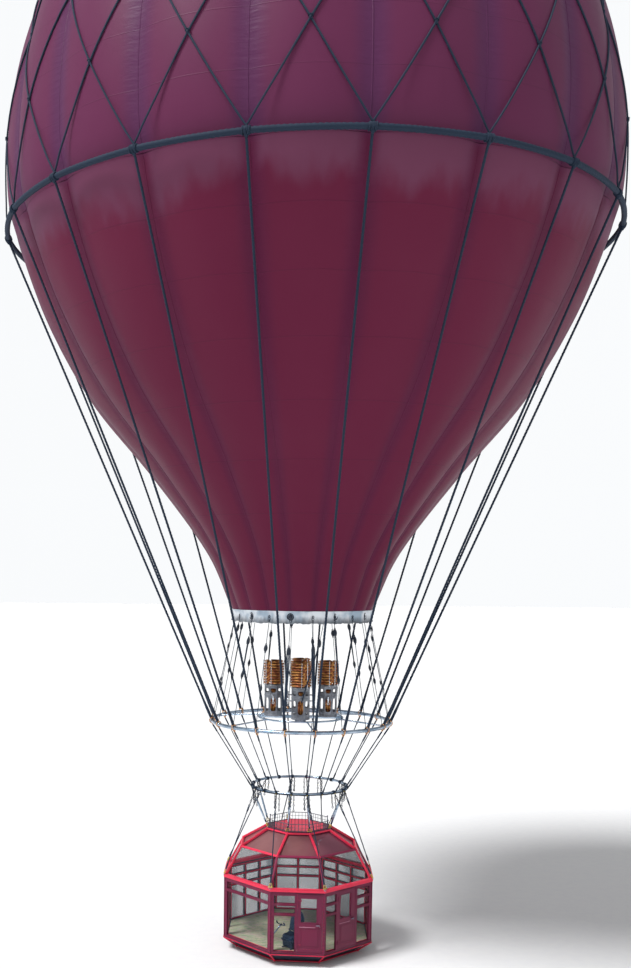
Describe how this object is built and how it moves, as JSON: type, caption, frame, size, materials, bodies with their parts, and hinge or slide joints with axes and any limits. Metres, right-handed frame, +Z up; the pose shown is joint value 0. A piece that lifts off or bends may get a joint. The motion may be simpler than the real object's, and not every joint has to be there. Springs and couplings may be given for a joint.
{
  "type": "hot-air balloon with glazed cabin",
  "caption": "Hot-air balloon: lobed burgundy envelope in a rope net, burner ring and load ring above an eight-sided glazed cabin with hinged doors and a steering yoke.",
  "frame": {"origin": "on the balloon's axis at the height of the equator rope, where the surrounding air carries it", "axes": "+Z up along the balloon's axis, -Y towards the cabin's front side with the first door, +X to the right seen from the front"},
  "size_m": [19.172, 19.172, 35.6882],
  "materials": {
    "envelope_burgundy": "burgundy coated nylon with a satin sheen",
    "mouth_band_silver": "silver-white heat-resistant cloth",
    "rope_navy": "dark navy laid rope",
    "ring_steel": "polished blue-grey steel tube",
    "burner_steel": "dull grey steel sheet",
    "coil_copper": "heat-tinted copper tube",
    "cabin_red": "crimson semi-gloss paint",
    "clear_glass": "clear glazing",
    "roof_tint": "tinted glossy roof panel",
    "railing_steel": "grey painted bar",
    "floor_khaki": "mottled khaki carpet",
    "skirt_navy": "dark navy paint",
    "seat_navy": "dark navy leather",
    "seat_black": "black shell",
    "grip_black": "black grips"
  },
  "bodies": {
    "balloon": {"base_frame": "cabin_red", "base_skirt": "skirt_navy", "belt_and_load_ropes": "rope_navy", "burner_body_1": "burner_steel", "burner_body_2": "burner_steel", "burner_body_3": "burner_steel", "burner_body_4": "burner_steel", "burner_coil_1": "coil_copper", "burner_coil_2": "coil_copper", "burner_coil_3": "coil_copper", "burner_coil_4": "coil_copper", "burner_frame": "ring_steel", "burner_ring": "ring_steel", "cabin_floor": "floor_khaki", "crown_ring": "ring_steel", "envelope_lower": "envelope_burgundy", "envelope_upper": "envelope_burgundy", "glass_back": "clear_glass", "glass_back_left": "clear_glass", "glass_back_right": "clear_glass", "glass_front": "clear_glass", "glass_front_left": "clear_glass", "glass_front_right": "clear_glass", "glass_left": "clear_glass", "glass_right": "clear_glass", "load_ring": "ring_steel", "mouth_band": "mouth_band_silver", "net": "rope_navy", "parachute_vent": "envelope_burgundy", "risers_and_slings": "rope_navy", "roof_deck": "cabin_red", "roof_panels": "roof_tint", "roof_railing": "railing_steel", "seat_back": "seat_navy", "seat_cushion": "seat_navy", "seat_pedestal": "seat_black", "steering_column": "ring_steel", "upper_frame": "cabin_red", "upper_glass": "clear_glass", "wall_back": "cabin_red", "wall_back_left": "cabin_red", "wall_back_right": "cabin_red", "wall_front": "cabin_red", "wall_front_left": "cabin_red", "wall_front_right": "cabin_red", "wall_left": "cabin_red", "wall_right": "cabin_red"},
    "front_door_leaf": {"front_door": "cabin_red", "front_door_glass": "clear_glass"},
    "side_door_leaf": {"side_door": "cabin_red", "side_door_glass": "clear_glass"},
    "yoke": {"steering_yoke": "grip_black"}
  },
  "joints": [
    {"name": "front_door_hinge", "type": "hinge", "parent": "balloon", "child": "front_door_leaf", "pos_m": [0.005, -2.354, -21.56], "axis": [0, 0, -1], "range_deg": [0, 105]},
    {"name": "side_door_hinge", "type": "hinge", "parent": "balloon", "child": "side_door_leaf", "pos_m": [1.31513, -1.91534, -21.56], "axis": [0, 0, -1], "range_deg": [0, 105]},
    {"name": "yoke_turn", "type": "hinge", "parent": "balloon", "child": "yoke", "pos_m": [-0.523, -1.854, -21.782], "axis": [0.5706, 0.5827, 0.5787], "range_deg": [-90, 90]}
  ]
}
